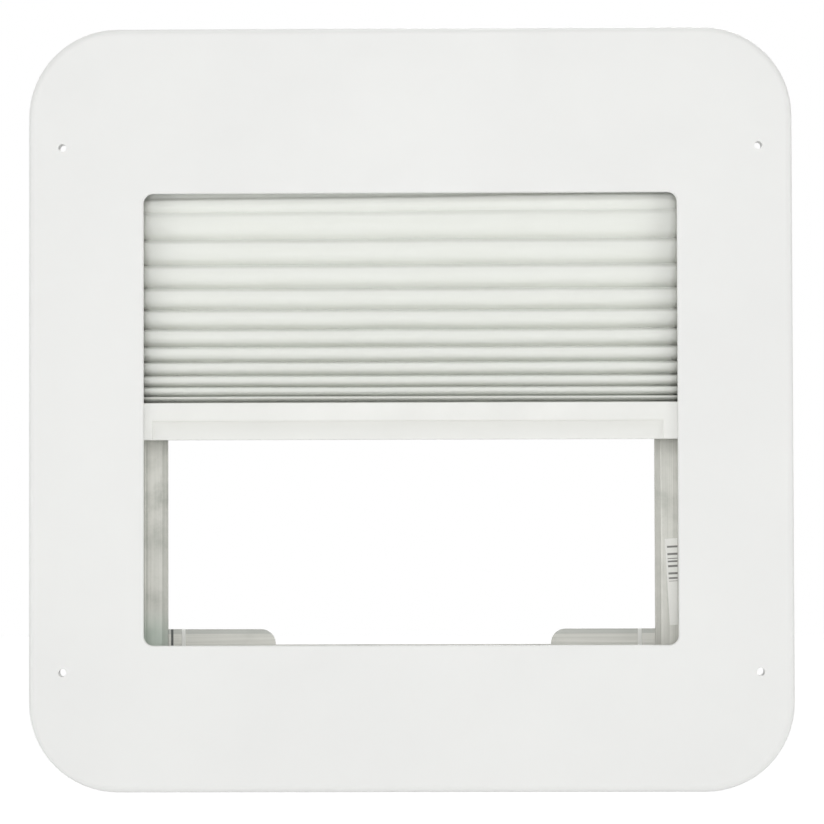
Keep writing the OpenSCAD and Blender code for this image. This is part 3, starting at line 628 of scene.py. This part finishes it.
shade = grown("pleated_cloth", bpy.data.meshes.new("cloth_start"), shade_tree,
              {**SHADE, "Material": cloth})
folds = [value.value for value in shade.data.attributes["fold"].data]
for face in shade.data.polygons:
    face.use_smooth = True
body = shade.modifiers.new("thickness", "SOLIDIFY")
body.thickness = FABRIC_THICKNESS
body.offset = 0.0
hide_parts("pleated_shade")
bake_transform(shade)
# Works out how far each leg could give way, none closing past CLOSED_LEG when the shade is
# pushed up, and each leg's share of the travel; the shares are not put on the cloth.
CLOSED_LEG = 0.0006
HALVINGS = 50
travel = next(j for j in frame["joints"] if j["name"] == "shade_travel")["range_m"][1]
legs = 2 * SHADE["Pleats"]
edge = {}
for point, value in zip(shade.data.vertices, folds):
    step = round((value - 0.5) * 2, 3)
    if step == int(step):
        edge.setdefault(round(point.co.x, 5), {})[int(step)] = point.co.z
spare = [min(column[k] - column[k + 1] for column in edge.values()) - CLOSED_LEG
         for k in range(legs)]
spare = [max(value, 0.0) / travel for value in spare]
low_cap, high_cap = 0.0, 1.0
for _ in range(HALVINGS):
    cap = (low_cap + high_cap) / 2
    low_cap, high_cap = (cap, high_cap) if sum(min(v, cap) for v in spare) < 1 else (low_cap, cap)
shares = [min(value, high_cap) for value in spare]
follow = [0.0]
for share in shares:
    follow.append(follow[-1] + share / sum(shares))
for value in folds:
    step = min(max((value - 0.5) * 2, 0.0), legs)
shade.data.attributes.remove(shade.data.attributes["fold"])

# ---------------------------------------------------------------------------------------------
# HANDLE
# A white powder-coated extrusion with a finger ridge along its front and a hollow under it,
# closed by a moulded cap at each end. The hollow just under the ridge is painted darker as shade.
rail_low, rail_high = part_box("handle_rail")
RIDGE_HEIGHT = 0.0125
RIDGE_SHADE_REACH = 0.010
ridge_bottom = rail_high.z - RIDGE_HEIGHT
tree = rail_white.node_tree
at = add(tree, "ShaderNodeSeparateXYZ", {
    0: add(tree, "ShaderNodeTexCoord").outputs["Object"]}).outputs
# painted shade: the hollow is darkened just under the ridge, fading out over the reach below it
ridge_shade = calc(tree, "MULTIPLY", calc(tree, "LESS_THAN", at["Z"], ridge_bottom),
             spread(tree, at["Z"], ridge_bottom - RIDGE_SHADE_REACH, ridge_bottom, 0.0, 0.33))
recolour(tree, ridge_shade, (0.68, 0.68, 0.63, 1))
dress("handle_rail", rail_white)
dress("handle_strip", strip_white)
cap_white = finish_material(
    "cap_white", moulded,
    {"Colour": (0.784, 0.788, 0.757, 1), "Cloud colour": (0.765, 0.769, 0.739, 1),
     "Grain": 1300.0, "Polish": 0.36}, 0.00002, specular_ior_level=0.4)
dress("end_cap_left", cap_white)
dress("end_cap_right", cap_white)
handle_middle = (rail_low.x + rail_high.x) / 2
fixings("cap_screw_set", "cap_screws",
        lambda low, high: Vector((1 if low.x > handle_middle else -1, 0, 0)),
        screw_nodes, "handle",
        {"Head radius": 0.0028, "Head height": 0.00168, "Shank radius": 0.0014,
         "Shank length": 0.015, "Turn seed": 31, "Material": plated_steel})

# ---------------------------------------------------------------------------------------------
# GLIDE PAD, BRAKE SHOE AND SPRING
# A waxy ivory plastic pad and shoe run on the channel webs. A leaf of spring steel behind the
# shoe presses both against the webs and holds the shade wherever it is let go.
glide_ivory = finish_material(
    "glide_ivory", moulded,
    {"Colour": (0.82, 0.80, 0.70, 1), "Cloud colour": (0.78, 0.75, 0.64, 1),
     "Grain": 900.0, "Polish": 0.28}, 0.00002, specular_ior_level=0.5)
spring_steel = finish_material(
    "spring_steel", rolled,
    {"Colour": (0.56, 0.57, 0.59, 1), "Stain colour": (0.42, 0.42, 0.43, 1),
     "Line scale": (1200, 1200, 20), "Polish": 0.25}, 0.00001, metallic=1.0)
dress("glide_pad", glide_ivory)
dress("brake_shoe", glide_ivory)
dress("brake_spring", spring_steel)

# ---------------------------------------------------------------------------------------------
# PART LABEL
# A small strip of coated paper stuck inside the right-hand channel. It carries only a row of
# plain bars and no words.
label_low, label_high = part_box("part_label")
paper = bpy.data.materials.new("label_paper")
paper.use_nodes = True
tree = paper.node_tree
shader = tree.nodes["Principled BSDF"]
on_label = add(tree, "ShaderNodeTexCoord").outputs["Object"]
# All is measured from the label's lower right corner, and turned with it. Two waves of unlike
# lengths leave bars of uneven spacing and width.
LABEL_TILT = math.radians(3.1)
FIRST_SPACING = 0.0047
SECOND_SPACING, SECOND_SHIFT, SECOND_SHARE = 0.0029, 0.5, 0.9
INKED_ABOVE = 0.4
BARS_LEFT = -0.0046
BARS_MIDDLE = 0.0455
BARS_HEIGHT = 0.030
corner = (label_high.x, 0.0, label_low.z)
squared = add(tree, "ShaderNodeVectorRotate", {
    "Vector": on_label, "Center": corner, "Axis": (0, 1, 0),
    "Angle": LABEL_TILT}, rotation_type="AXIS_ANGLE").outputs[0]
from_corner = add(tree, "ShaderNodeVectorMath", {0: squared, 1: corner}, operation="SUBTRACT")
spot = add(tree, "ShaderNodeSeparateXYZ", {0: from_corner.outputs[0]}).outputs
first_wave = calc(tree, "SINE", calc(tree, "MULTIPLY", spot["Z"], math.tau / FIRST_SPACING))
second_wave = calc(tree, "SINE", calc(tree, "MULTIPLY_ADD", spot["Z"],
                                      math.tau / SECOND_SPACING, SECOND_SHIFT))
inked = calc(tree, "GREATER_THAN", calc(tree, "MULTIPLY_ADD", second_wave, SECOND_SHARE,
                                        first_wave), INKED_ABOVE)
in_rows = calc(tree, "COMPARE", spot["Z"], BARS_MIDDLE, BARS_HEIGHT / 2)
in_width = calc(tree, "GREATER_THAN", spot["X"], BARS_LEFT)
bars = calc(tree, "MULTIPLY", inked, calc(tree, "MULTIPLY", in_rows, in_width))
fibre = spread(tree, noise(tree, on_label, 1500.0, 4.0), 0.3, 0.7)
white = blend_colours(tree, fibre, (0.80, 0.80, 0.77, 1), (0.76, 0.76, 0.73, 1))
tree.links.new(blend_colours(tree, bars, white, (0.19, 0.19, 0.18, 1)),
               shader.inputs["Base Color"])
tree.links.new(spread(tree, fibre, 0.0, 1.0, 0.5, 0.6), shader.inputs["Roughness"])
relief = add(tree, "ShaderNodeBump", {"Height": fibre, "Strength": 1.0,
                                      "Distance": 0.00001})
tree.links.new(relief.outputs["Normal"], shader.inputs["Normal"])
dress("part_label", paper)

# ---------------------------------------------------------------------------------------------
# STUDIO
# A pale floor well below the shade, soft light from all round, and a camera straight in
# front, a touch below the middle and very slightly rolled.
FLOOR_HEIGHT = -0.80
FLOOR_REACH = 9
FLOOR_GLOW = 0.72
ROOM_LIGHT = 0.26


def seen_directly(tree):
    """1 for the camera and for what shows in or through a surface, 0 for plain light."""
    ray = add(tree, "ShaderNodeLightPath").outputs
    return calc(tree, "MAXIMUM", ray["Is Camera Ray"],
                calc(tree, "MAXIMUM", ray["Is Glossy Ray"], ray["Is Transmission Ray"]))


floor_mesh = bpy.data.meshes.new("floor")
floor_mesh.from_pydata([(x * FLOOR_REACH, y * FLOOR_REACH, FLOOR_HEIGHT)
                        for x, y in ((-1, -1), (1, -1), (1, 1), (-1, 1))], [], [(0, 1, 2, 3)])
floor = bpy.data.objects.new("floor", floor_mesh)
bpy.context.scene.collection.objects.link(floor)
pale = bpy.data.materials.new("pale_floor")
pale.use_nodes = True
tree = pale.node_tree
shader = tree.nodes["Principled BSDF"]
ground = noise(tree, add(tree, "ShaderNodeTexCoord").outputs["Object"], 3.0, 4.0)
tree.links.new(blend_colours(tree, ground, (0.86, 0.86, 0.86, 1), (0.88, 0.88, 0.88, 1)),
               shader.inputs["Base Color"])
shader.inputs["Roughness"].default_value = 0.8
shader.inputs["Emission Color"].default_value = (1, 1, 1, 1)
tree.links.new(calc(tree, "MULTIPLY", seen_directly(tree), FLOOR_GLOW),
               shader.inputs["Emission Strength"])
floor_mesh.materials.append(pale)

world = bpy.data.worlds.new("room")
bpy.context.scene.world = world
world.use_nodes = True
tree = world.node_tree
tree.nodes["Background"].inputs["Color"].default_value = (1, 1, 1, 1)
tree.links.new(spread(tree, seen_directly(tree), 0.0, 1.0, ROOM_LIGHT, 1.0),
               tree.nodes["Background"].inputs["Strength"])


def aimed(made, place, target, roll=0.0):
    """Puts a lamp or the camera at a place, pointing at a target."""
    made.location = place
    way = (Vector(target) - Vector(place)).to_track_quat("-Z", "Y").to_matrix().to_4x4()
    made.rotation_euler = (way @ Matrix.Rotation(roll, 4, "Z")).to_euler()
    bpy.context.scene.collection.objects.link(made)
    return made


# each softbox's place, width in metres and power in watts
SOFTBOXES = {"key_softbox": ((-0.1, -3.0, 1.35), 1.1, 23.5),
             "front_softbox": ((0.0, -2.6, 0.1), 0.6, 11.5),
             "left_softbox": ((-2.0, -1.0, 0.1), 1.0, 12.0),
             "right_softbox": ((2.0, -1.0, 0.1), 1.0, 12.0),
             "back_softbox": ((0.6, 2.6, 1.8), 1.4, 33.0),
             "top_softbox": ((0.0, 0.15, 2.0), 0.8, 9.0)}
for name, (place, size, power) in SOFTBOXES.items():
    lamp = bpy.data.lights.new(name, "AREA")
    lamp.size = size
    lamp.energy = power
    aimed(bpy.data.objects.new(name, lamp), place, (0, 0, 0))

CAMERA_DISTANCE = 1.8
CAMERA_LOW = math.radians(1.19)
CAMERA_SIDE = math.radians(0.7)
CAMERA_ROLL = math.radians(-0.156)
AIM = Vector((0.0011, 0.0, -0.0020))
lens = bpy.data.cameras.new("camera")
lens.sensor_width = 36.0
lens.lens = 107.17
camera = aimed(bpy.data.objects.new("camera", lens),
               AIM + CAMERA_DISTANCE * Vector((
                   math.sin(CAMERA_SIDE), -math.cos(CAMERA_LOW) * math.cos(CAMERA_SIDE),
                   -math.sin(CAMERA_LOW))), AIM, CAMERA_ROLL)
bpy.context.scene.camera = camera
bpy.context.scene.view_settings.view_transform = "Standard"
